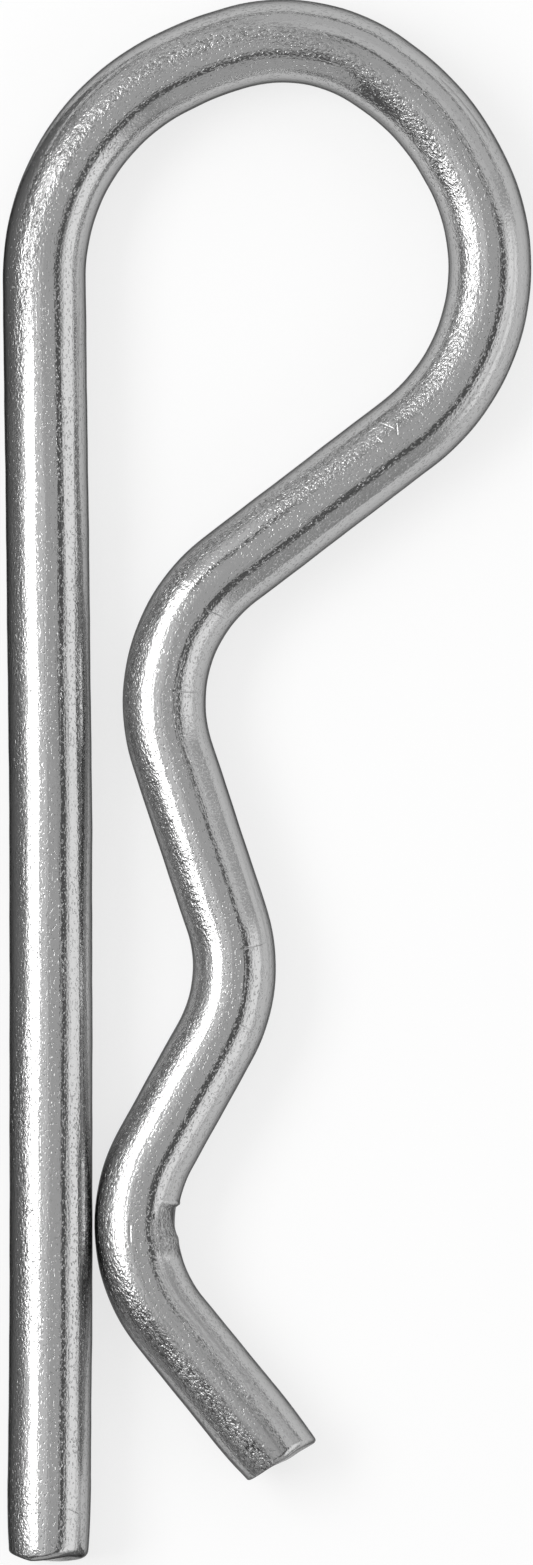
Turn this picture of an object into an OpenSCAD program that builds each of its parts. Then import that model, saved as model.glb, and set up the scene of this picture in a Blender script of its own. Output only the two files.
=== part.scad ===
// Hitch R clip bent from one length of round spring wire.
// The straight leg goes through a cross hole in a pin or shaft, and the wavy leg springs
// round the outside of that pin. The wire lies flat, with its middle plane at z = 0.
// The origin is where the axis of the gripped pin crosses the axis of the straight leg.
// +Y runs along the straight leg towards the loop, and +X runs towards the wavy leg.
// Bend radii are taken on the centreline of the wire, and turns are in degrees.

/* [Wire] */
// Diameter of the round wire
wire_d = 4; // [3:0.1:5]

/* [Straight leg] */
// Reach of the straight leg below the middle of the pin seat
leg_reach = 28.5; // [26:0.1:34]
// Drop below the pin seat where the leg takes the slight set of its end stretch
end_set_drop = 17; // [16:0.5:20]
// Turn of that set, which leads the end stretch outwards
end_set_turn = 0.6; // [0.3:0.1:1]
// Height above the pin seat where the leg takes a slight set towards the loop
upper_set_rise = 6.5; // [4:0.5:12]
// Turn of that set, which leads the upper stretch outwards
upper_set_turn = 0.7; // [0.3:0.1:2]
// Length of the upper stretch, from its set to the loop
upper_len = 25.5; // [22:0.5:29]
// Radius of both sets
set_r = 60; // [20:1:100]

/* [Loop] */
// Radius of the shoulder, the first bend of the loop
shoulder_r = 10.9; // [10:0.1:12.5]
// Turn of the shoulder
shoulder_turn = 65; // [58:0.5:70]
// Radius of the brow, the flatter stretch at the top of the loop
brow_r = 13.5; // [11:0.5:18]
// Turn of the brow
brow_turn = 9; // [5:0.5:15]
// Radius of the crown, the tightest bend of the loop
crown_r = 8; // [6.5:0.1:9.5]
// Turn of the crown
crown_turn = 52.5; // [46:0.5:58]
// Radius of the side of the loop that faces away from the straight leg
side_r = 11.4; // [10:0.1:13]
// Turn of that side
side_turn = 25; // [20:0.5:30]
// Radius of the heel, where the loop turns back towards the straight leg
heel_r = 10; // [8.5:0.1:11.5]
// Length of the short straight step that the bender leaves between the bends of the loop
loop_step = 0.5; // [0.4:0.1:1]

/* [Wavy leg] */
// Gap between the straight leg and the waist
waist_gap = 1.4; // [0.6:0.1:2.4]
// Height of the narrowest place of the waist above the pin seat
waist_rise = 12.6; // [11.4:0.1:13.6]
// Radius of the waist
waist_r = 8; // [6:0.1:9.5]
// Depth of the pin seat, from the axis of the straight leg to the inside of the belly
seat_depth = 6.75; // [6:0.05:8]
// Radius of the belly, the bend that goes round the gripped pin
belly_r = 7.4; // [6:0.1:9]
// Clearance between the straight leg and the contact bend
contact_gap = 0.05; // [0.02:0.01:0.4]
// Drop of the contact bend below the middle of the pin seat
contact_drop = 12.3; // [11.4:0.1:14]
// Radius of the contact bend
contact_r = 7.4; // [5.5:0.1:8.5]

/* [Tail] */
// Flare of the tail away from the straight leg, in degrees
flare_angle = 39; // [30:0.5:48]
// Length of the tail beyond the contact bend
tail_len = 8.7; // [6:0.1:12]

/* [Cut ends] */
// Length over which the shear has drawn in the end of the straight leg
leg_pinch_len = 4; // [2:0.1:6]
// Depth by which the straight leg is drawn in all round at its end
leg_pinch = 0.12; // [0.05:0.01:0.2]
// Tilt of its cut face towards the upper side, in degrees
leg_face_tilt = 5; // [1:0.5:8]
// Length over which the shear has drawn in the end of the tail
tail_pinch_len = 3; // [2:0.1:5]
// Depth by which the tail is drawn in all round at its end
tail_pinch = 0.14; // [0.05:0.01:0.2]
// Tilt of its cut face towards the upper side, in degrees
tail_face_tilt = 6; // [1:0.5:8]
// Skew of its cut face in the plane of the clip, in degrees
tail_face_skew = 6.5; // [1:0.5:10]
// Radius of the tumbled edge round both cut faces
edge_r = 0.3; // [0.1:0.05:0.5]

/* [Tool mark] */
// Depth of the nick that the bending tool left inside the contact bend
nick_depth = 0.25; // [0.1:0.05:0.4]
// Radius of the scoop of the nick
nick_r = 1.3; // [0.8:0.1:2]
// Height of the nick above the middle plane of the wire
nick_z = 0.4; // [0:0.1:0.8]

/* [Hidden] */
$fn = 96;
// The long flat arc of a pinched end needs finer steps than the wire
pinch_fn = 720;
wire_r = wire_d / 2;

// Lap of each straight run into the bends beside it, and how much thicker a bend is all round:
// the swell is larger than what the bend curves away over the lap, so each joint is a clean step
run_lap = 0.15;
bend_swell = 0.004;

// Turn directions on the way from the straight leg to the tail
left = 1;
right = -1;

// Unit vector along a heading
function ahead(heading) = [cos(heading), sin(heading)];
// Unit vector that points to the left of a heading
function left_of(heading) = [-sin(heading), cos(heading)];
// End of a bend that starts at a point with a heading
function bend_end(point, heading, r, turn) =
    point + sign(turn) * r * (left_of(heading) - left_of(heading + turn));
// Start of the next bend of the loop, a short straight step further on
function next_bend(point, heading, r, turn) =
    bend_end(point, heading, r, turn) + loop_step * ahead(heading + turn);
// Length of the straight run that touches one bend and then the next
function run_len(c1, r1, side1, c2, r2, side2) =
    sqrt((c2 - c1) * (c2 - c1) - pow(side2 * r2 - side1 * r1, 2));
// Heading of that run
function run_heading(c1, r1, side1, c2, r2, side2) =
    atan2(c2.y - c1.y, c2.x - c1.x)
    - atan2(side2 * r2 - side1 * r1, run_len(c1, r1, side1, c2, r2, side2));
// Turn from one heading to another towards one side, always less than a full circle
function turn_to(from, to, side) =
    side * (side * (to - from) - 360 * floor(side * (to - from) / 360));

// Starts and headings of the bends from the upper set round to the heel
leg_heading = 90;
upper_heading = leg_heading + upper_set_turn;
upper_at = bend_end([0, upper_set_rise], leg_heading, set_r, upper_set_turn);
shoulder_at = upper_at + upper_len * ahead(upper_heading);
brow_heading = upper_heading - shoulder_turn;
brow_at = next_bend(shoulder_at, upper_heading, shoulder_r, -shoulder_turn);
crown_heading = brow_heading - brow_turn;
crown_at = next_bend(brow_at, brow_heading, brow_r, -brow_turn);
side_heading = crown_heading - crown_turn;
side_at = next_bend(crown_at, crown_heading, crown_r, -crown_turn);
heel_heading = side_heading - side_turn;
heel_at = next_bend(side_at, side_heading, side_r, -side_turn);

// Centres of the heel and of the bends of the wavy leg, which follow the leg and the pin seat
heel_c = heel_at - heel_r * left_of(heel_heading);
waist_c = [wire_d + waist_gap + waist_r, waist_rise];
belly_c = [seat_depth + wire_r - belly_r, 0];
contact_c = [wire_d + contact_gap + bend_swell + contact_r, -contact_drop];

// The straight runs between them, each touching the bends at its ends
heel_run_len = run_len(heel_c, heel_r, right, waist_c, waist_r, left);
heel_run_heading = run_heading(heel_c, heel_r, right, waist_c, waist_r, left);
belly_run_len = run_len(waist_c, waist_r, left, belly_c, belly_r, right);
belly_run_heading = run_heading(waist_c, waist_r, left, belly_c, belly_r, right);
contact_run_len = run_len(belly_c, belly_r, right, contact_c, contact_r, left);
contact_run_heading = run_heading(belly_c, belly_r, right, contact_c, contact_r, left);
tail_heading = flare_angle - leg_heading;

// The end stretch of the straight leg is what its reach leaves below the set
end_set_len = set_r * end_set_turn * PI / 180;
end_len = leg_reach - end_set_drop - end_set_len;

// The wire is drawn as a chain: each stretch starts along +X and carries the rest of the wire
// at its own end. Runs lap into the bends at both ends, which are thicker by the swell.

// A straight run of wire
module run(len) {
    translate([len + run_lap, 0]) rotate([0, -90, 0]) cylinder(d = wire_d, h = len + 2 * run_lap);
    translate([len, 0]) children();
}

// A bend to the left, or to the right where the turn is negative
module bend(r, turn) {
    centre = [0, sign(turn) * r];
    mirror([0, turn < 0 ? 1 : 0, 0])
        translate([0, r]) rotate([0, 0, -90])
            rotate_extrude(angle = abs(turn))
                translate([r, 0]) rotate(90) circle(wire_r + bend_swell);
    translate(centre) rotate([0, 0, turn]) translate(-centre) children();
}

// Half outline of the last run, whose sheared end is drawn in along an arc to a tumbled edge
module end_outline(len, pinch_len, pinch) {
    arc_r = (pinch_len * pinch_len + pinch * pinch) / (2 * pinch);
    face_r = wire_r - arc_r + sqrt(pow(arc_r, 2) - pow(pinch_len - edge_r, 2)) - edge_r;
    translate([0, -run_lap]) square([wire_r, len - pinch_len + run_lap]);
    translate([0, len - pinch_len]) {
        intersection() {
            square([wire_r, pinch_len - edge_r]);
            translate([wire_r - arc_r, 0]) circle(arc_r, $fn = pinch_fn);
        }
        square([face_r, pinch_len]);
        translate([face_r, pinch_len - edge_r]) circle(edge_r);
    }
}

// The last run, whose cut face leans back by tilt on the upper side and by skew on the right
module end_run(len, pinch_len, pinch, tilt, skew) {
    block = 3 * wire_d;
    slant = wire_r * norm([tan(tilt), tan(skew)]);
    rotate([0, 90, 0]) rotate([0, 0, 180])
        difference() {
            rotate_extrude() end_outline(len, pinch_len, pinch);
            translate([0, 0, len - slant]) rotate([-skew, tilt, 0])
                translate([-block / 2, -block / 2, 0]) cube(block);
        }
}

// The end stretch of the straight leg, drawn downwards from its set to the cut end
module leg_end() {
    bend(set_r, -end_set_turn)
    end_run(end_len, leg_pinch_len, leg_pinch, leg_face_tilt, 0);
}

// The rest of the wire, drawn upwards from that set, round the loop and down the wavy leg
module leg_to_tail() {
    run(end_set_drop + upper_set_rise)
    bend(set_r, upper_set_turn)
    run(upper_len)
    bend(shoulder_r, -shoulder_turn)
    run(loop_step)
    bend(brow_r, -brow_turn)
    run(loop_step)
    bend(crown_r, -crown_turn)
    run(loop_step)
    bend(side_r, -side_turn)
    run(loop_step)
    bend(heel_r, turn_to(heel_heading, heel_run_heading, right))
    run(heel_run_len)
    bend(waist_r, turn_to(heel_run_heading, belly_run_heading, left))
    run(belly_run_len)
    bend(belly_r, turn_to(belly_run_heading, contact_run_heading, right))
    run(contact_run_len)
    bend(contact_r, turn_to(contact_run_heading, tail_heading, left))
    end_run(tail_len, tail_pinch_len, tail_pinch, tail_face_tilt, tail_face_skew);
}

// The whole wire
module wire() {
    translate([0, -end_set_drop]) {
        rotate([0, 0, -leg_heading]) leg_end();
        rotate([0, 0, leg_heading]) leg_to_tail();
    }
}

// The scoop that the bending tool took out of the inner side of the contact bend
module tool_nick() {
    translate([contact_c.x - contact_r + wire_r + nick_r - nick_depth, contact_c.y, nick_z]) sphere(nick_r);
}

module r_clip() {
    color("silver")
        difference() {
            wire();
            tool_nick();
        }
}

r_clip();
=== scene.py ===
import math

import bpy
import numpy as np
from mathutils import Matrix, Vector


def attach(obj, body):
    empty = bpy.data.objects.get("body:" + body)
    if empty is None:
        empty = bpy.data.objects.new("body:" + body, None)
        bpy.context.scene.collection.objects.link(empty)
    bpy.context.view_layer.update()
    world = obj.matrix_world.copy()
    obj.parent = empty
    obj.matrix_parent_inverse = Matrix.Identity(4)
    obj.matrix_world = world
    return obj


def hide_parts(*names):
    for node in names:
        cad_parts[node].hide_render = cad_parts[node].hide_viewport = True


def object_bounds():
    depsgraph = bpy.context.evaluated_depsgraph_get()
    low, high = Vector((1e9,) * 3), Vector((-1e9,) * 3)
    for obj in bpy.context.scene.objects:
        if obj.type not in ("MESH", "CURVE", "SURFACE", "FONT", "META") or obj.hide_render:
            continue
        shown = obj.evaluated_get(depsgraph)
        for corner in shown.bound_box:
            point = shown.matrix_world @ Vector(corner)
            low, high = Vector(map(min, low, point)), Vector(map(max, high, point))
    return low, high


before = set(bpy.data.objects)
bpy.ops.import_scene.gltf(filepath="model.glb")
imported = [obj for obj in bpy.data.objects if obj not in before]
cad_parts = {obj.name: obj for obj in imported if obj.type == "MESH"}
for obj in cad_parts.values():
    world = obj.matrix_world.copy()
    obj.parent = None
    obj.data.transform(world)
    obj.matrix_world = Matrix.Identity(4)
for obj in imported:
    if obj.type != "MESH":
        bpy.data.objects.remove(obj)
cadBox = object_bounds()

mm = 0.001

print("frame loaded")

# What the wire is bent to and how it looks close up: lengths and radii in millimetres, turns in degrees.
# The origin is where the gripped pin's axis crosses the straight leg's, as in the frame.
wire = {
    "diameter": 4.0,
    "legReach": 28.5, "endSetDrop": 17.0, "endSetTurn": 0.6,
    "upperSetRise": 6.5, "upperSetTurn": 0.7, "upperLength": 25.5, "setRadius": 60.0,
    "shoulder": (10.9, 65.0), "brow": (13.5, 9.0), "crown": (8.0, 52.5), "side": (11.4, 25.0),
    "heelRadius": 10.0, "loopStep": 0.5,
    "waistGap": 1.4, "waistRise": 12.6, "waistRadius": 8.0,
    "seatDepth": 6.75, "bellyRadius": 7.4,
    "contactGap": 0.054, "contactDrop": 12.3, "contactRadius": 7.4,
    "flareAngle": 39.0, "tailLength": 8.7,
    "sides": 96, "ringStep": 0.33, "nickStep": 0.11,  # points in a ring, and the steps from ring to ring
    "edge": 0.3,  # the rounding that both cut ends are drawn with before they are shaped

    # The drawn wire is a hair uneven, and only ever thinner than its size, by height times what the waves
    # leave of most. Each wave has its share, its radians per millimetre along the wire, its start, its
    # turns round the wire, and its swing to the left of the heading and to the top.
    "uneven": {
        "height": 0.004, "most": 4.2,
        "fadeFrom": 2.0, "fadeOver": 4.0,  # it starts this far from the ends, and grows over this length
        "waves": [
            {"share": 1.0, "rate": 0.55, "start": 1.0, "turns": 0, "toLeft": 1, "toTop": 0},
            {"share": 1.0, "rate": 1.3, "start": 0.0, "turns": 2, "toLeft": 0, "toTop": 0},
            {"share": 1.0, "rate": 0.23, "start": 0.0, "turns": -1, "toLeft": 0, "toTop": 0},
            {"share": 0.7, "rate": 3.1, "start": 0.0, "turns": 0, "toLeft": 0, "toTop": 3},
        ],
    },

    # The sheared ends. The shear drew the wire in by pinch over pinchLength. The edge is tumbled round,
    # with one radius on the right of the heading and one on the left, and topRoll more on top, where the
    # wire rolled over before it broke. The face lies back, is skewed, sags away from sagAt, has a step at
    # stepAt, and leans back towards the top, by leanTurn more for each millimetre to the left.
    "ends": {
        "leg": {"pinchLength": 4.0, "pinch": 0.12, "edge": (0.42, 0.12), "topRoll": 0.05,
                "back": 0.03, "skew": 0.0, "sag": 0.09, "sagAt": -0.5, "lean": 0.06, "leanTurn": -0.07,
                "step": 0.0, "stepAt": 0.0},
        "tail": {"pinchLength": 3.0, "pinch": 0.14, "edge": (0.08, 0.26), "topRoll": 0.16,
                 "back": 0.12, "skew": -0.19, "sag": 0.0, "sagAt": 0.0, "lean": 0.052, "leanTurn": 0.03,
                 "step": -0.07, "stepAt": 0.2},
        "stepWidth": 0.5, "mostLean": 0.13,
        "blend": 1.6, "blendPower": 1.5, "tuck": 0.15,  # how the face's shape dies out in the wire behind it
        "faceRings": 8, "edgeSteps": 6, "firstRing": 0.02,  # rings on a face and its edge, size of the first
    },

    # The scoop that the bending tool left inside the contact bend, with a ragged burr pushed up at its
    # upper end and a low one at its foot. Round is from the left of the heading over the top. The slopes,
    # and the places and sizes of the burrs, are in half lengths and half widths of the scoop.
    "nick": {
        "along": 148.5, "halfLength": 1.05, "round": 20.0, "halfRound": 40.0, "depth": 0.27,
        "upperSlope": 0.3, "lowerSlope": 1.1, "lowerPower": 0.8, "flankPower": 2.2, "flankRound": 0.8,
        "burr": {"height": 0.08, "at": (-1.08, 0.0), "size": (0.12, 0.7)},
        "foot": {"height": 0.05, "at": (1.15, 0.1), "size": (0.25, 0.6)},
        "crumples": [{"share": 0.35, "waves": 4, "start": 0}, {"share": 0.25, "waves": 9, "start": 1}],
        "ragged": {"share": 0.04, "waves": 6},
    },
}


def ahead(heading):
    return Vector((math.cos(math.radians(heading)), math.sin(math.radians(heading)), 0))


def leftOf(heading):
    return Vector((-math.sin(math.radians(heading)), math.cos(math.radians(heading)), 0))


def walk(place, heading, stroke):
    # the place and heading at the end of a run or a bend
    if stroke[0] == "run":
        return place + stroke[1] * ahead(heading), heading
    radius = math.copysign(stroke[1], stroke[2])
    return place + radius * (leftOf(heading) - leftOf(heading + stroke[2])), heading + stroke[2]


def strokeLength(stroke):
    return stroke[1] if stroke[0] == "run" else stroke[1] * abs(math.radians(stroke[2]))


def tangentRun(centreA, radiusA, sideA, centreB, radiusB, sideB):
    # length and heading of the straight run that touches one bend and then the next
    between = centreB - centreA
    offset = sideB * radiusB - sideA * radiusA
    length = math.sqrt(between.length_squared - offset ** 2)
    return length, math.degrees(math.atan2(between.y, between.x) - math.atan2(offset, length))


def bendTable():
    # the leg's cut end, its heading there, and the runs and bends from it round to the tail's cut end
    left, right = 1, -1
    w = wire
    firstHeading = 90 - w["endSetTurn"]
    endRun = w["legReach"] - w["endSetDrop"] - w["setRadius"] * math.radians(w["endSetTurn"])
    setStart = Vector((0, -w["endSetDrop"], 0)) + w["setRadius"] * (leftOf(90) - leftOf(firstHeading))
    start = setStart - endRun * ahead(firstHeading)
    strokes = [
        ("run", endRun), ("bend", w["setRadius"], w["endSetTurn"]),
        ("run", w["endSetDrop"] + w["upperSetRise"]), ("bend", w["setRadius"], w["upperSetTurn"]),
        ("run", w["upperLength"]),
    ]
    for name in ("shoulder", "brow", "crown", "side"):
        radius, turn = w[name]
        strokes += [("bend", radius, -turn), ("run", w["loopStep"])]
    place, heading = start.copy(), firstHeading
    for stroke in strokes:
        place, heading = walk(place, heading, stroke)
    heelCentre = place - w["heelRadius"] * leftOf(heading)
    waistCentre = Vector((w["diameter"] + w["waistGap"] + w["waistRadius"], w["waistRise"], 0))
    bellyCentre = Vector((w["seatDepth"] + w["diameter"] / 2 - w["bellyRadius"], 0, 0))
    contactCentre = Vector((w["diameter"] + w["contactGap"] + w["contactRadius"], -w["contactDrop"], 0))
    bends = [(heelCentre, w["heelRadius"], right), (waistCentre, w["waistRadius"], left),
             (bellyCentre, w["bellyRadius"], right), (contactCentre, w["contactRadius"], left)]
    for index, (centre, radius, side) in enumerate(bends):
        if index + 1 < len(bends):
            length, nextHeading = tangentRun(centre, radius, side, *bends[index + 1])
        else:
            length, nextHeading = w["tailLength"], w["flareAngle"] - 90
        strokes += [("bend", radius, side * ((side * (nextHeading - heading)) % 360)), ("run", length)]
        heading = nextHeading
    return start, firstHeading, strokes


def tipRings():
    # each ring of a cut end from the middle of its face outwards: its share of the face, and how far
    # the tumbled edge has turned there
    faceRings, edgeSteps = wire["ends"]["faceRings"], wire["ends"]["edgeSteps"]
    face = [(step / faceRings, 0.0) for step in range(1, faceRings + 1)]
    edge = [(1.0, math.pi / 2 * step / edgeSteps) for step in range(1, edgeSteps + 1)]
    return [(wire["ends"]["firstRing"], 0.0)] + face + edge


def bendWire():
    # the wire is drawn out ring by ring from the middle of the leg's cut face to the middle of the tail's;
    # each ring is noted with its place, heading, length along the wire, share of the face and edge turn
    start, heading, strokes = bendTable()
    half, edge = wire["diameter"] / 2, wire["edge"]
    cap = tipRings()
    radii = [share * (half - edge) + edge * math.sin(turn) for share, turn in cap]
    backs = [edge * (1 - math.cos(turn)) for share, turn in cap]
    bpy.ops.object.select_all(action="DESELECT")
    bpy.ops.mesh.primitive_circle_add(
        vertices=wire["sides"], radius=radii[0] * mm, fill_type="NOTHING",
        location=start * mm, rotation=(math.radians(-90), 0, math.radians(heading - 90)))
    piece = bpy.context.object
    piece.name = "bent_wire"
    bpy.ops.object.transform_apply(location=True, rotation=True, scale=True)
    bpy.ops.object.mode_set(mode="EDIT")
    bpy.ops.mesh.select_all(action="SELECT")
    rings = [(start, heading, 0.0, cap[0])]
    for index in range(1, len(cap)):
        onward = ahead(heading) * (backs[index] - backs[index - 1])
        bpy.ops.mesh.extrude_region_move(TRANSFORM_OT_translate={"value": onward * mm})
        bpy.ops.transform.resize(value=(radii[index] / radii[index - 1],) * 3)
        rings.append((start + backs[index] * ahead(heading), heading, backs[index], cap[index]))
    place, along = start.copy(), 0.0
    for number, stroke in enumerate(strokes):
        length = strokeLength(stroke)
        first = edge if number == 0 else 0.0
        kept = length - first - (edge if number == len(strokes) - 1 else 0.0)
        nicked = number == len(strokes) - 2
        steps = max(2, round(kept / wire["nickStep" if nicked else "ringStep"]))
        if stroke[0] == "run":
            bpy.ops.mesh.extrude_repeat(steps=steps, offset=ahead(heading) * kept / steps * mm)
        else:
            centre = place + math.copysign(stroke[1], stroke[2]) * leftOf(heading)
            bpy.ops.mesh.spin(
                steps=steps, angle=-math.radians(stroke[2]), center=centre * mm, axis=(0, 0, 1))
        for step in range(1, steps + 1):
            done = first + kept * step / steps
            part = ("run", done) if stroke[0] == "run" else ("bend", stroke[1], stroke[2] * done / length)
            at, facing = walk(place, heading, part)
            rings.append((at, facing, along + done, (1.0, math.pi / 2)))
        place, heading = walk(place, heading, stroke)
        along += length
    for index in range(len(cap) - 2, -1, -1):
        onward = ahead(heading) * (backs[index + 1] - backs[index])
        bpy.ops.mesh.extrude_region_move(TRANSFORM_OT_translate={"value": onward * mm})
        bpy.ops.transform.resize(value=(radii[index] / radii[index + 1],) * 3)
        rings.append((place - backs[index] * ahead(heading), heading, along - backs[index], cap[index]))
    bpy.ops.object.mode_set(mode="OBJECT")
    return piece, rings, along


clip, rings, wireLength = bendWire()
print("wire bent:", len(rings), "rings,", round(wireLength, 1), "mm long")


def thinning(along, angle, wireLength):
    # how much thinner than its size the drawn wire is
    uneven = wire["uneven"]
    fromEnd = np.minimum(along, wireLength - along)
    fade = np.clip((fromEnd - uneven["fadeFrom"]) / uneven["fadeOver"], 0, 1)
    waves = 0
    for wave in uneven["waves"]:
        swing = wave["toLeft"] * np.cos(angle) + wave["toTop"] * np.sin(angle)
        phase = wave["rate"] * along + wave["start"] + wave["turns"] * angle + swing
        waves = waves + wave["share"] * np.sin(phase)
    return uneven["height"] * (uneven["most"] - waves) * fade


def nickHeight(along, angle):
    # how far the skin of the wire stands up in and round the nick, less than nothing in its scoop
    nick = wire["nick"]
    a = (along - nick["along"]) / nick["halfLength"]
    b = (angle - math.radians(nick["round"])) / math.radians(nick["halfRound"])
    upper = np.clip((a + 1) / nick["upperSlope"], 0, 1)
    lower = np.clip((1 - a) / nick["lowerSlope"], 0, 1) ** nick["lowerPower"]
    flanks = np.clip(1 - np.abs(b) ** nick["flankPower"], 0, 1) ** nick["flankRound"]
    crumple = 1
    for fold in nick["crumples"]:
        crumple = crumple + fold["share"] * np.sin(fold["waves"] * b + fold["start"])
    ragged = nick["ragged"]["share"] * np.sin(nick["ragged"]["waves"] * b)
    humps = 0
    for hump, shift, factor in ((nick["burr"], ragged, crumple), (nick["foot"], 0, 1)):
        offA = (a - hump["at"][0] + shift) / hump["size"][0]
        offB = (b - hump["at"][1]) / hump["size"][1]
        humps = humps + hump["height"] * factor * np.exp(-offA ** 2 - offB ** 2)
    return humps - nick["depth"] * upper * lower * flanks


def shapeTip(tip, angle, share, turn, back):
    # where the points of one cut end go: their radius, and how far they lie back from the end
    half, ends = wire["diameter"] / 2, wire["ends"]
    toLeft = (1 + np.cos(angle)) / 2
    edge = tip["edge"][0] + (tip["edge"][1] - tip["edge"][0]) * toLeft
    edge = edge + tip["topRoll"] * np.clip(np.sin(angle), 0, 1)
    arcRadius = (tip["pinchLength"] ** 2 + tip["pinch"] ** 2) / (2 * tip["pinch"])
    inside = np.clip(tip["pinchLength"] - np.maximum(back, edge), 0, None)
    side = half - (arcRadius - np.sqrt(arcRadius ** 2 - inside ** 2))
    onEnd = back < wire["edge"] + 1e-6
    shaped = np.where(onEnd, share * (side - edge) + edge * np.sin(turn), side)
    tucked = np.where(onEnd, edge * (1 - np.cos(turn)), np.maximum(back, edge + ends["tuck"] * back))
    across, up = shaped * np.cos(angle), shaped * np.sin(angle)
    rim = np.sqrt(np.clip(half ** 2 - across ** 2, 0, None))
    sag = tip["back"] + tip["skew"] * across + tip["sag"] * (across - tip["sagAt"]) ** 2
    sag = sag + tip["step"] * np.exp(-((across - tip["stepAt"]) / ends["stepWidth"]) ** 2)
    lean = np.clip(tip["lean"] + tip["leanTurn"] * across, 0, ends["mostLean"]) * (up + rim)
    fade = np.clip(1 - (back - wire["edge"]) / ends["blend"], 0, 1) ** ends["blendPower"]
    return shaped, tucked + (sag + lean) * fade


def shapeWire(piece, rings, wireLength):
    # shapes the unevenness, the nick and the cut ends, and writes where each point lies on the wire
    # before it was bent, and on its surface unrolled
    count, sides, half = len(rings), wire["sides"], wire["diameter"] / 2
    mesh = piece.data
    points = np.empty(len(mesh.vertices) * 3)
    mesh.vertices.foreach_get("co", points)
    points = points.reshape(count, sides, 3) / mm
    places = np.array([ring[0][:] for ring in rings])[:, None]
    aheads = np.array([ahead(ring[1])[:] for ring in rings])[:, None]
    lefts = np.array([leftOf(ring[1])[:] for ring in rings])[:, None]
    whole = np.ones((1, sides))
    drawn = np.array([ring[2] for ring in rings])[:, None] * whole
    share = np.array([ring[3][0] for ring in rings])[:, None] * whole
    turn = np.array([ring[3][1] for ring in rings])[:, None] * whole
    angle = np.arctan2(points[:, :, 2], ((points - places) * lefts).sum(2))  # from the left over the top

    along = drawn.copy()
    radius = half - thinning(along, angle, wireLength) + nickHeight(along, angle)
    leg, tail = wire["ends"]["leg"], wire["ends"]["tail"]
    near = drawn < leg["pinchLength"]
    legRadius, legBack = shapeTip(leg, angle, share, turn, drawn)
    radius = np.where(near, legRadius, radius)
    along = np.where(near, legBack, along)
    near = wireLength - drawn < tail["pinchLength"]
    tailRadius, tailBack = shapeTip(tail, angle, share, turn, wireLength - drawn)
    radius = np.where(near, tailRadius, radius)
    along = np.where(near, wireLength - tailBack, along)

    across, up = radius * np.cos(angle), radius * np.sin(angle)
    moved = places + aheads * (along - drawn)[:, :, None] + lefts * across[:, :, None]
    moved[:, :, 2] = up
    mesh.vertices.foreach_set("co", (moved * mm).ravel())
    roundWire = np.where(angle < -math.pi / 2, angle + 2 * math.pi, angle) * half
    straight, unrolled = (along, across, up), (along, roundWire, 0 * along)
    for name, parts in (("wire_place", straight), ("wire_unrolled", unrolled)):
        written = mesh.attributes.new(name, "FLOAT_VECTOR", "POINT")
        written.data.foreach_set("vector", np.stack(parts, axis=2).ravel())
    mesh.update()


shapeWire(clip, rings, wireLength)


def closeEnds(piece):
    # the small rings in the middle of both cut faces are merged to a point each
    sides = wire["sides"]
    last = len(piece.data.vertices) - sides
    for first in (last, 0):
        bpy.ops.object.mode_set(mode="EDIT")
        bpy.ops.mesh.select_all(action="DESELECT")
        bpy.ops.object.mode_set(mode="OBJECT")
        for vertex in piece.data.vertices:
            vertex.select = first <= vertex.index < first + sides
        bpy.ops.object.mode_set(mode="EDIT")
        bpy.ops.mesh.merge(type="CENTER")
        bpy.ops.object.mode_set(mode="OBJECT")
    bpy.ops.object.mode_set(mode="EDIT")
    bpy.ops.mesh.select_all(action="SELECT")
    bpy.ops.mesh.normals_make_consistent(inside=False)
    bpy.ops.object.mode_set(mode="OBJECT")
    bpy.ops.object.shade_smooth()


closeEnds(clip)
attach(clip, "root")
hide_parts("r_clip")
print("ends closed:", len(clip.data.polygons), "faces")


def linear(code):
    # sRGB hex colour to Blender's linear values
    values = [int(code[place:place + 2], 16) / 255 for place in (1, 3, 5)]
    return [v / 12.92 if v <= 0.04045 else ((v + 0.055) / 1.055) ** 2.4 for v in values] + [1.0]


def addNode(tree, kind, settings, links={}):
    # adds a node with the values of its settings and sockets, and the links that lead into it
    made = tree.nodes.new(kind)
    for name, value in settings.items():
        if isinstance(name, str) and name in made.bl_rna.properties:
            setattr(made, name, value)
    for name, value in settings.items():
        if not (isinstance(name, str) and name in made.bl_rna.properties):
            made.inputs[name].default_value = value
    for name, output in links.items():
        tree.links.new(output, made.inputs[name])
    return made


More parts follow.
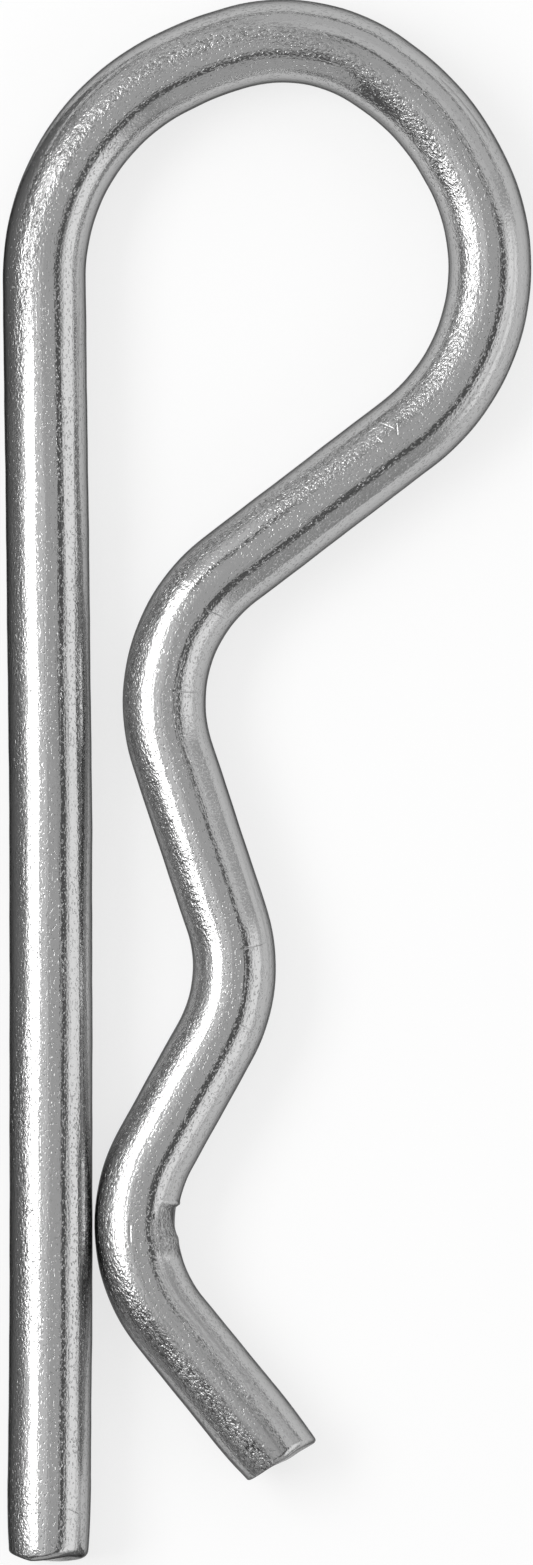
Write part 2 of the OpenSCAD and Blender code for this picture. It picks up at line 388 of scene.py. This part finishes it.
# Bright zinc plating over cold drawn spring wire. Drawing leaves fine lines along the wire, the pickled
# steel under the thin plating leaves shallow pits, and together they break the edge of each mirrored
# band into sparkles while the middle of a band stays calm. Sizes and heights in millimetres.
zincPlate = {
    # The darkest colour is painted shade: dark specks in the low places of the orange peel, standing in for
    # the dark reflections of its pits.
    # The edge tint is darker than zinc's own: painted shade that darkens the metal's mirror towards its rims,
    # standing in for dark surroundings mirrored there.
    "colour": "#B8B8B8", "dullColour": "#A0A0A0", "speckShadeColour": "#5A5A5A", "edgeShadeTint": "#686868",
    "roughness": (0.1, 0.28),

    # The size of each pattern's features across and along the wire. Real draw lines and pits are 0.02 to
    # 0.05 wide and a few thousandths deep, too fine to show, so they are drawn coarser and deeper.
    "patterns": {
        "lines": {"width": 0.12, "length": 5.0, "detail": 2.0, "harshness": 0.6, "height": 0.0045},
        "broadLines": {"width": 0.45, "length": 18.0, "detail": 2.0, "harshness": 0.5, "height": 0.009},
        "pits": {"width": 0.11, "length": 0.165, "detail": 1.0, "harshness": 0.5, "height": 0.0155},
        "peel": {"width": 0.14, "length": 0.224, "detail": 2.0, "harshness": 0.6, "height": 0.038},
        "grain": {"width": 0.1, "length": 0.1, "detail": 0.0, "harshness": 0.5, "height": 0.0022},
        "waves": {"width": 1.6, "length": 4.0, "detail": 1.0, "harshness": 0.5, "height": 0.004},
        "patches": {"width": 2.2, "length": 6.6, "detail": 2.0, "harshness": 0.55},
    },
    "gain": 2,  # the noise swings over about half its range, so its heights are doubled

    # What changes with a pattern or with the length along the wire: its source, how it changes, where the
    # change starts and ends, and the values before and after
    "changes": {
        "pitted": ("patches", "LINEAR", 0.35, 0.65, 0.25, 1.0),  # more pits where the wire is patchy
        "pitShape": ("pits", "SMOOTHSTEP", 0.29, 0.42, -1.0, 0.0),  # only the low parts become pits
        "dull": ("broadLines", "LINEAR", 0.58, 0.74, 0.0, 1.0),
        "grime": ("peel", "LINEAR", 0.38, 0.5, 0.5, 0.0),  # painted shade: dark specks in the low places of the peel
        "calmTail": ("along", "SMOOTHSTEP", 149.0, 156.0, 1.0, 0.3),  # the draw lines fade on the tail
        # the middle of the strip of orange peel, to the left of the wire's own
        "onLeg": ("along", "SMOOTHSTEP", 54.0, 68.0, 1.4, 0.6),
        "onLoop": ("along", "SMOOTHSTEP", 76.0, 88.0, 0.0, -1.5),
        "toWaves": ("along", "SMOOTHSTEP", 106.0, 116.0, 0.0, 0.5),
        "fromWaves": ("along", "SMOOTHSTEP", 148.0, 154.0, 1.0, -0.2),
        # how rough the strip is and how much painted shade it gets: more on the loop than on the leg, and
        # most on the tail
        "loopPeel": ("along", "SMOOTHSTEP", 54.0, 68.0, 0.9, 1.5),
        "tailPeel": ("along", "SMOOTHSTEP", 150.0, 155.0, 0.9, 1.9),
    },
    "strip": {"half": (0.15, 0.7), "peel": (1.0, 0.12)},  # from the strip's middle to what lies beside it
    "waveCalm": 0.7,  # share of the peel that is gone for each millimetre that the waves shift the strip
    "pitWear": 0.35,  # how dull the bottom of a pit is

    # The skin that the bending tool crushed in and just below the nick, which also gets painted shade in the
    # low places of its peel. Its middle is given from the nick's.
    "crush": {
        "along": 0.6, "round": 15, "size": (2.0, 1.3, 1), "edge": (0.55, 1.0), "peel": 2.2, "grime": 0.4,
    },

    # Handling marks: where along the wire and round it in degrees, their length and width, how far they
    # slant from the run of the wire, and their share of markDepth. Each fades towards its ends and flanks,
    # over these shares of its length and width.
    "markDepth": 0.02, "markEnds": (0.3, 0.5), "markFlanks": (0.2, 0.7),
    "marks": [
        {"at": (104.9, 117), "length": 0.9, "width": 0.09, "slant": 62, "depth": 0.8},
        {"at": (104.6, 104), "length": 0.7, "width": 0.08, "slant": -58, "depth": 0.7},
        {"at": (105.6, 108), "length": 0.5, "width": 0.07, "slant": 75, "depth": 0.6},
        {"at": (117.1, 57), "length": 1.5, "width": 0.08, "slant": 78, "depth": 0.7},
        {"at": (121.7, 58), "length": 2.0, "width": 0.1, "slant": 88, "depth": 0.5},
        {"at": (134.5, 57), "length": 2.2, "width": 0.08, "slant": 84, "depth": 0.45},
        {"at": (138.0, 54), "length": 1.4, "width": 0.08, "slant": 96, "depth": 0.45},
        {"at": (2.6, 128), "length": 1.0, "width": 0.06, "slant": 110, "depth": 0.5},
        {"at": (149.1, 98), "length": 1.1, "width": 0.12, "slant": 2, "depth": 0.7},
        {"at": (158.9, 71), "length": 0.22, "width": 0.2, "slant": 0, "depth": 1.0},
        {"at": (76.5, 60), "length": 3.0, "width": 0.09, "slant": 4, "depth": 0.6},
        {"at": (88.0, 38), "length": 4.0, "width": 0.1, "slant": -3, "depth": 0.6},
    ],
}


def onSurface(along, degrees):
    # a place on the unrolled surface of the wire
    return along, math.radians(degrees) * wire["diameter"] / 2, 0


def handlingMarks(tree, surface):
    # each mark is a thin line or a dot on the unrolled surface
    marked = None
    for mark in zincPlate["marks"]:
        endFrom, endTo = [share * mark["length"] for share in zincPlate["markEnds"]]
        flankFrom, flankTo = [share * mark["width"] for share in zincPlate["markFlanks"]]
        away = addNode(tree, "ShaderNodeVectorMath", {
            "operation": "SUBTRACT", 1: onSurface(*mark["at"])}, {0: surface})
        turned = addNode(tree, "ShaderNodeVectorRotate", {
            "rotation_type": "Z_AXIS", "Angle": -math.radians(mark["slant"])}, {"Vector": away.outputs[0]})
        away = addNode(tree, "ShaderNodeVectorMath", {"operation": "ABSOLUTE"}, {0: turned.outputs[0]})
        parts = addNode(tree, "ShaderNodeSeparateXYZ", {}, {0: away.outputs[0]})
        ends = addNode(tree, "ShaderNodeMapRange", {
            "From Min": endFrom, "From Max": endTo, "To Min": mark["depth"], "To Max": 0.0},
            {"Value": parts.outputs["X"]})
        flanks = addNode(tree, "ShaderNodeMapRange", {
            "From Min": flankFrom, "From Max": flankTo, "To Min": 1.0, "To Max": 0.0},
            {"Value": parts.outputs["Y"]})
        line = addNode(tree, "ShaderNodeMath", {"operation": "MULTIPLY"}, {
            0: ends.outputs[0], 1: flanks.outputs[0]})
        if marked is not None:
            line = addNode(tree, "ShaderNodeMath", {"operation": "MAXIMUM"}, {0: line.outputs[0], 1: marked})
        marked = line.outputs[0]
    return marked


def orangePeel(tree, left, surface, changes):
    # how rough the orange peel is and how much painted shade it gets. It lies in a strip on the left flank of
    # the straight leg, left of the middle over the top of the loop, right of it from there on and near the
    # rim in the waves, and it lies round the nick.
    z = zincPlate
    middle = addNode(tree, "ShaderNodeMath", {"operation": "ADD"}, {
        0: changes["onLeg"], 1: changes["onLoop"]})
    inWaves = addNode(tree, "ShaderNodeMath", {"operation": "MULTIPLY"}, {
        0: changes["toWaves"], 1: changes["fromWaves"]})
    middle = addNode(tree, "ShaderNodeMath", {"operation": "SUBTRACT"}, {
        0: middle.outputs[0], 1: inWaves.outputs[0]})
    off = addNode(tree, "ShaderNodeMath", {"operation": "SUBTRACT"}, {0: left, 1: middle.outputs[0]})
    off = addNode(tree, "ShaderNodeMath", {"operation": "ABSOLUTE"}, {0: off.outputs[0]})
    half, share = z["strip"]["half"], z["strip"]["peel"]
    strip = addNode(tree, "ShaderNodeMapRange", {
        "interpolation_type": "SMOOTHSTEP", "From Min": half[0], "From Max": half[1],
        "To Min": share[0], "To Max": share[1]}, {"Value": off.outputs[0]})
    calm = addNode(tree, "ShaderNodeMath", {
        "operation": "MULTIPLY_ADD", 1: -z["waveCalm"], 2: 1.0}, {0: inWaves.outputs[0]})
    peeled = strip.outputs[0]
    for factor in (changes["loopPeel"], changes["tailPeel"], calm.outputs[0], changes["pitted"]):
        product = addNode(tree, "ShaderNodeMath", {"operation": "MULTIPLY"}, {0: peeled, 1: factor})
        peeled = product.outputs[0]

    crush, nick = z["crush"], wire["nick"]
    crushAt = onSurface(nick["along"] + crush["along"], nick["round"] + crush["round"])
    away = addNode(tree, "ShaderNodeVectorMath", {"operation": "SUBTRACT", 1: crushAt}, {0: surface})
    away = addNode(tree, "ShaderNodeVectorMath", {
        "operation": "DIVIDE", 1: crush["size"]}, {0: away.outputs[0]})
    reach = addNode(tree, "ShaderNodeVectorMath", {"operation": "LENGTH"}, {0: away.outputs[0]})
    crushed = addNode(tree, "ShaderNodeMapRange", {
        "interpolation_type": "SMOOTHSTEP", "From Min": crush["edge"][0], "From Max": crush["edge"][1],
        "To Min": crush["peel"], "To Max": 0.0}, {"Value": reach.outputs["Value"]})
    # the crushed skin's share of the painted shade specks
    grimy = addNode(tree, "ShaderNodeMath", {
        "operation": "MULTIPLY", 1: crush["grime"]}, {0: crushed.outputs[0]})
    rough = addNode(tree, "ShaderNodeMath", {"operation": "MAXIMUM"}, {0: peeled, 1: crushed.outputs[0]})
    dirty = addNode(tree, "ShaderNodeMath", {"operation": "MAXIMUM"}, {0: peeled, 1: grimy.outputs[0]})
    return rough.outputs[0], dirty.outputs[0]


def zincPlatedWire():
    material = bpy.data.materials.new("bright zinc plated drawn spring wire")
    material.use_nodes = True
    tree = material.node_tree
    shader = tree.nodes["Principled BSDF"]
    z, patterns = zincPlate, zincPlate["patterns"]

    # where a point lay on the straight wire before it was bent (along, left and up), and on its surface
    # unrolled (along and round), all in millimetres
    straight = addNode(tree, "ShaderNodeAttribute", {"attribute_name": "wire_place"}).outputs["Vector"]
    surface = addNode(tree, "ShaderNodeAttribute", {"attribute_name": "wire_unrolled"}).outputs["Vector"]
    axes = addNode(tree, "ShaderNodeSeparateXYZ", {}, {0: straight})
    sources = {"along": axes.outputs["X"]}
    for name, pattern in patterns.items():
        scale = (1 / pattern["length"], 1 / pattern["width"], 1 / pattern["width"])
        scaled = addNode(tree, "ShaderNodeMapping", {"Scale": scale}, {0: straight})
        noise = addNode(tree, "ShaderNodeTexNoise", {
            "Scale": 1.0, "Detail": pattern["detail"], "Roughness": pattern["harshness"]},
            {"Vector": scaled.outputs[0]})
        sources[name] = noise.outputs[0]
    changes = {}
    for name, (source, way, start, end, before, after) in z["changes"].items():
        change = addNode(tree, "ShaderNodeMapRange", {
            "interpolation_type": way, "From Min": start, "From Max": end, "To Min": before,
            "To Max": after}, {"Value": sources[source]})
        changes[name] = change.outputs[0]

    # the heights of the pits, lines, grain and waves, then of the orange peel and the marks
    pitDepth = addNode(tree, "ShaderNodeMath", {"operation": "MULTIPLY"}, {
        0: changes["pitShape"], 1: changes["pitted"]})
    height = addNode(tree, "ShaderNodeMath", {
        "operation": "MULTIPLY", 1: patterns["pits"]["height"]}, {0: pitDepth.outputs[0]})
    for name, factors in (
            ("lines", ("pitted", "calmTail")), ("broadLines", ("calmTail",)), ("grain", ()), ("waves", ())):
        level = sources[name]
        for factor in factors:
            product = addNode(tree, "ShaderNodeMath", {"operation": "MULTIPLY"}, {
                0: level, 1: changes[factor]})
            level = product.outputs[0]
        height = addNode(tree, "ShaderNodeMath", {
            "operation": "MULTIPLY_ADD", 1: patterns[name]["height"] * z["gain"]},
            {0: level, 2: height.outputs[0]})
    rough, dirty = orangePeel(tree, axes.outputs["Y"], surface, changes)
    peel = addNode(tree, "ShaderNodeMath", {
        "operation": "MULTIPLY", 1: patterns["peel"]["height"] * z["gain"]}, {0: sources["peel"]})
    height = addNode(tree, "ShaderNodeMath", {"operation": "MULTIPLY_ADD"}, {
        0: peel.outputs[0], 1: rough, 2: height.outputs[0]})
    marked = handlingMarks(tree, surface)
    height = addNode(tree, "ShaderNodeMath", {
        "operation": "MULTIPLY_ADD", 1: -z["markDepth"]}, {0: marked, 2: height.outputs[0]})
    bump = addNode(tree, "ShaderNodeBump", {"Strength": 1.0, "Distance": mm}, {"Height": height.outputs[0]})

    # duller and a little darker in the broad lines, the pits and the marks, and painted shade as dark specks
    # in the low places of the orange peel
    worn = addNode(tree, "ShaderNodeMath", {
        "operation": "MULTIPLY", 1: -z["pitWear"]}, {0: pitDepth.outputs[0]})
    duller = addNode(tree, "ShaderNodeMath", {"operation": "MAXIMUM"}, {
        0: changes["dull"], 1: worn.outputs[0]})
    duller = addNode(tree, "ShaderNodeMath", {"operation": "MAXIMUM"}, {0: duller.outputs[0], 1: marked})
    colour = addNode(tree, "ShaderNodeMix", {
        "data_type": "RGBA", 6: linear(z["colour"]), 7: linear(z["dullColour"])}, {0: duller.outputs[0]})
    roughness = addNode(tree, "ShaderNodeMapRange", {
        "To Min": z["roughness"][0], "To Max": z["roughness"][1]}, {"Value": duller.outputs[0]})
    # painted shade: dark specks where the peel is low, within the strip and the crushed skin
    grimed = addNode(tree, "ShaderNodeMath", {"operation": "MULTIPLY"}, {0: changes["grime"], 1: dirty})
    grimed = addNode(tree, "ShaderNodeMath", {"operation": "MINIMUM", 1: 1.0}, {0: grimed.outputs[0]})
    colour = addNode(tree, "ShaderNodeMix", {"data_type": "RGBA", 7: linear(z["speckShadeColour"])}, {
        0: grimed.outputs[0], 6: colour.outputs[2]})
    tree.links.new(colour.outputs[2], shader.inputs["Base Color"])
    tree.links.new(roughness.outputs[0], shader.inputs["Roughness"])
    tree.links.new(bump.outputs[0], shader.inputs["Normal"])
    shader.inputs["Metallic"].default_value = 1.0
    # painted shade: the dark edge tint darkens the rims of the wire
    shader.inputs["Specular Tint"].default_value = linear(z["edgeShadeTint"])
    return material


clip.data.materials.append(zincPlatedWire())
print("material made")

# The camera looks straight down, and its picture is just as high as the clip is long. In millimetres.
view = {"centre": (10.285, 8.782), "height": 74.65, "distance": 900.0, "sensor": 36.0, "sees": (50, 20000)}


def addCamera():
    data = bpy.data.cameras.new("camera")
    data.sensor_width = view["sensor"]
    data.lens = view["sensor"] * view["distance"] / view["height"]
    data.clip_start, data.clip_end = view["sees"][0] * mm, view["sees"][1] * mm
    camera = bpy.data.objects.new("camera", data)
    camera.location = (view["centre"][0] * mm, view["centre"][1] * mm, view["distance"] * mm)
    bpy.context.collection.objects.link(camera)
    bpy.context.scene.camera = camera


# The floor, in millimetres. To the camera and in the metal its colour is lifted to lift, and white is the
# share of plain white that is mixed in.
floorSheet = {"size": 4000, "colour": "#F4F4F4", "lift": 1.05, "white": 0.7}


def addFloor():
    # matt paper, which spreads the light evenly and shows the clip's soft shadow
    bpy.ops.object.select_all(action="DESELECT")
    bpy.ops.mesh.primitive_plane_add(size=floorSheet["size"] * mm, location=(0, 0, cadBox[0][2]))
    floor = bpy.context.object
    floor.name = "floor"
    material = bpy.data.materials.new("matt white paper sheet")
    material.use_nodes = True
    tree = material.node_tree
    tree.nodes.clear()
    ray = addNode(tree, "ShaderNodeLightPath", {})
    seen = addNode(tree, "ShaderNodeMath", {"operation": "MAXIMUM"}, {
        0: ray.outputs["Is Camera Ray"], 1: ray.outputs["Is Glossy Ray"]})
    shown = addNode(tree, "ShaderNodeMath", {"operation": "MAXIMUM"}, {
        0: seen.outputs[0], 1: ray.outputs["Is Transmission Ray"]})
    tint = addNode(tree, "ShaderNodeMix", {
        "data_type": "RGBA", 6: linear(floorSheet["colour"]), 7: (floorSheet["lift"],) * 3 + (1,)},
        {0: shown.outputs[0]})
    paper = addNode(tree, "ShaderNodeBsdfDiffuse", {}, {"Color": tint.outputs[2]})
    white = addNode(tree, "ShaderNodeEmission", {"Color": linear("#FFFFFF"), "Strength": 1.0})
    share = addNode(tree, "ShaderNodeMath", {
        "operation": "MULTIPLY", 1: floorSheet["white"]}, {0: shown.outputs[0]})
    mixed = addNode(tree, "ShaderNodeMixShader", {}, {
        0: share.outputs[0], 1: paper.outputs[0], 2: white.outputs[0]})
    addNode(tree, "ShaderNodeOutputMaterial", {}, {"Surface": mixed.outputs[0]})
    floor.data.materials.append(material)


# Two grey cards lie on the floor just outside the picture, as a photographer lays them to give bright
# metal dark edges. Low corner and high corner, height of the middle and thickness, in millimetres.
cards = {
    "left": ((-90, -75), (-2.8, 60)), "front": ((-2.8, -75), (45, -29.2)), "rise": 0.5, "thickness": 0.6,
    "colour": "#7C7C7C", "roughness": 0.9,
}


def addCards():
    # painted board has no gloss, so the metal mirrors it as a plain grey
    material = bpy.data.materials.new("matt grey painted card")
    material.use_nodes = True
    shader = material.node_tree.nodes["Principled BSDF"]
    shader.inputs["Base Color"].default_value = linear(cards["colour"])
    shader.inputs["Roughness"].default_value = cards["roughness"]
    for name in ("left", "front"):
        low, high = cards[name]
        middle = ((low[0] + high[0]) / 2 * mm, (low[1] + high[1]) / 2 * mm, cadBox[0][2] + cards["rise"] * mm)
        size = ((high[0] - low[0]) * mm, (high[1] - low[1]) * mm, cards["thickness"] * mm)
        bpy.ops.object.select_all(action="DESELECT")
        bpy.ops.mesh.primitive_cube_add(size=1, location=middle, scale=size)
        card = bpy.context.object
        card.name = name + "_flag"
        card.data.materials.append(material)
        card.visible_camera = False
        card.visible_diffuse = False
        card.visible_shadow = False


# One soft box on the left: middle and size in millimetres, and how bright the lit cloth is
softBox = {"at": (-150, 34, 165), "size": (196, 88), "radiance": 4.2}


def addSoftBox():
    data = bpy.data.lights.new("soft box", "AREA")
    data.shape = "RECTANGLE"
    data.size, data.size_y = softBox["size"][0] * mm, softBox["size"][1] * mm
    data.energy = softBox["radiance"] * data.size * data.size_y * math.pi
    lamp = bpy.data.objects.new("soft box", data)
    lamp.location = Vector(softBox["at"]) * mm
    lamp.rotation_euler = (-Vector(softBox["at"])).to_track_quat("-Z", "Y").to_euler()
    bpy.context.collection.objects.link(lamp)


# The room round the table: panels of grey cloth seen in the metal. Angles in degrees: down from
# straight up, and round from +X; half is half its width round, soft the width of its fading edge.
room = {
    "base": 0.14,
    "panels": [
        {"down": (-1, 29), "round": 0, "half": 180, "soft": 3, "grey": 0.65},  # ceiling
        {"down": (37, 82), "round": 75, "half": 62, "soft": 5, "grey": 0.77},  # back wall
        {"down": (86, 92), "round": 75, "half": 75, "soft": 3, "grey": 0.65},  # and its foot
        {"down": (44, 92), "round": 272, "half": 34, "soft": 6, "grey": 0.6},  # front wall
        {"down": (47, 92), "round": -15, "half": 38, "soft": 6, "grey": 0.54},  # right wall
        {"down": (38, 57), "round": 75, "half": 62, "soft": 8, "grey": 0.88},  # top of the back wall
        {"down": (8, 33), "round": 190, "half": 44, "soft": 12, "grey": 1.0},  # ceiling above the soft box
        {"down": (28, 77), "round": 170, "half": 30, "soft": 18, "grey": 1.0},  # glow round the soft box
        {"down": (50, 85), "round": -14, "half": 27, "soft": 18, "grey": 1.4},  # window on the right
    ],
}


def addRoom():
    # each panel is laid over those before it
    world = bpy.data.worlds.new("studio")
    world.use_nodes = True
    tree = world.node_tree
    place = addNode(tree, "ShaderNodeTexCoord", {}).outputs["Generated"]
    axes = addNode(tree, "ShaderNodeSeparateXYZ", {}, {0: place})
    up = addNode(tree, "ShaderNodeMath", {"operation": "ARCCOSINE"}, {0: axes.outputs["Z"]})
    grey = None
    for panel in room["panels"]:
        soft = math.radians(panel["soft"])
        low, high = [math.radians(angle) for angle in panel["down"]]
        turned = addNode(tree, "ShaderNodeVectorRotate", {
            "rotation_type": "Z_AXIS", "Angle": -math.radians(panel["round"])}, {"Vector": place})
        parts = addNode(tree, "ShaderNodeSeparateXYZ", {}, {0: turned.outputs[0]})
        sideways = addNode(tree, "ShaderNodeMath", {"operation": "ARCTAN2"}, {
            0: parts.outputs["Y"], 1: parts.outputs["X"]})
        middle = addNode(tree, "ShaderNodeMath", {
            "operation": "SUBTRACT", 1: (low + high) / 2}, {0: up.outputs[0]})
        fades = []
        for angle, reach in ((middle, (high - low) / 2), (sideways, math.radians(panel["half"]))):
            off = addNode(tree, "ShaderNodeMath", {"operation": "ABSOLUTE"}, {0: angle.outputs[0]})
            fades.append(addNode(tree, "ShaderNodeMapRange", {
                "interpolation_type": "SMOOTHSTEP", "From Min": reach - soft / 2,
                "From Max": reach + soft / 2, "To Min": 1.0, "To Max": 0.0}, {"Value": off.outputs[0]}))
        both = addNode(tree, "ShaderNodeMath", {"operation": "MULTIPLY"}, {
            0: fades[0].outputs[0], 1: fades[1].outputs[0]})
        laid = addNode(tree, "ShaderNodeMix", {"data_type": "FLOAT", 2: room["base"], 3: panel["grey"]}, {
            0: both.outputs[0]})
        if grey is not None:
            tree.links.new(grey.outputs[0], laid.inputs[2])
        grey = laid
    tree.links.new(grey.outputs[0], tree.nodes["Background"].inputs["Color"])
    bpy.context.scene.world = world


addCamera()
addFloor()
addCards()
addSoftBox()
addRoom()
bpy.context.scene.view_settings.view_transform = "Standard"
print("studio set")
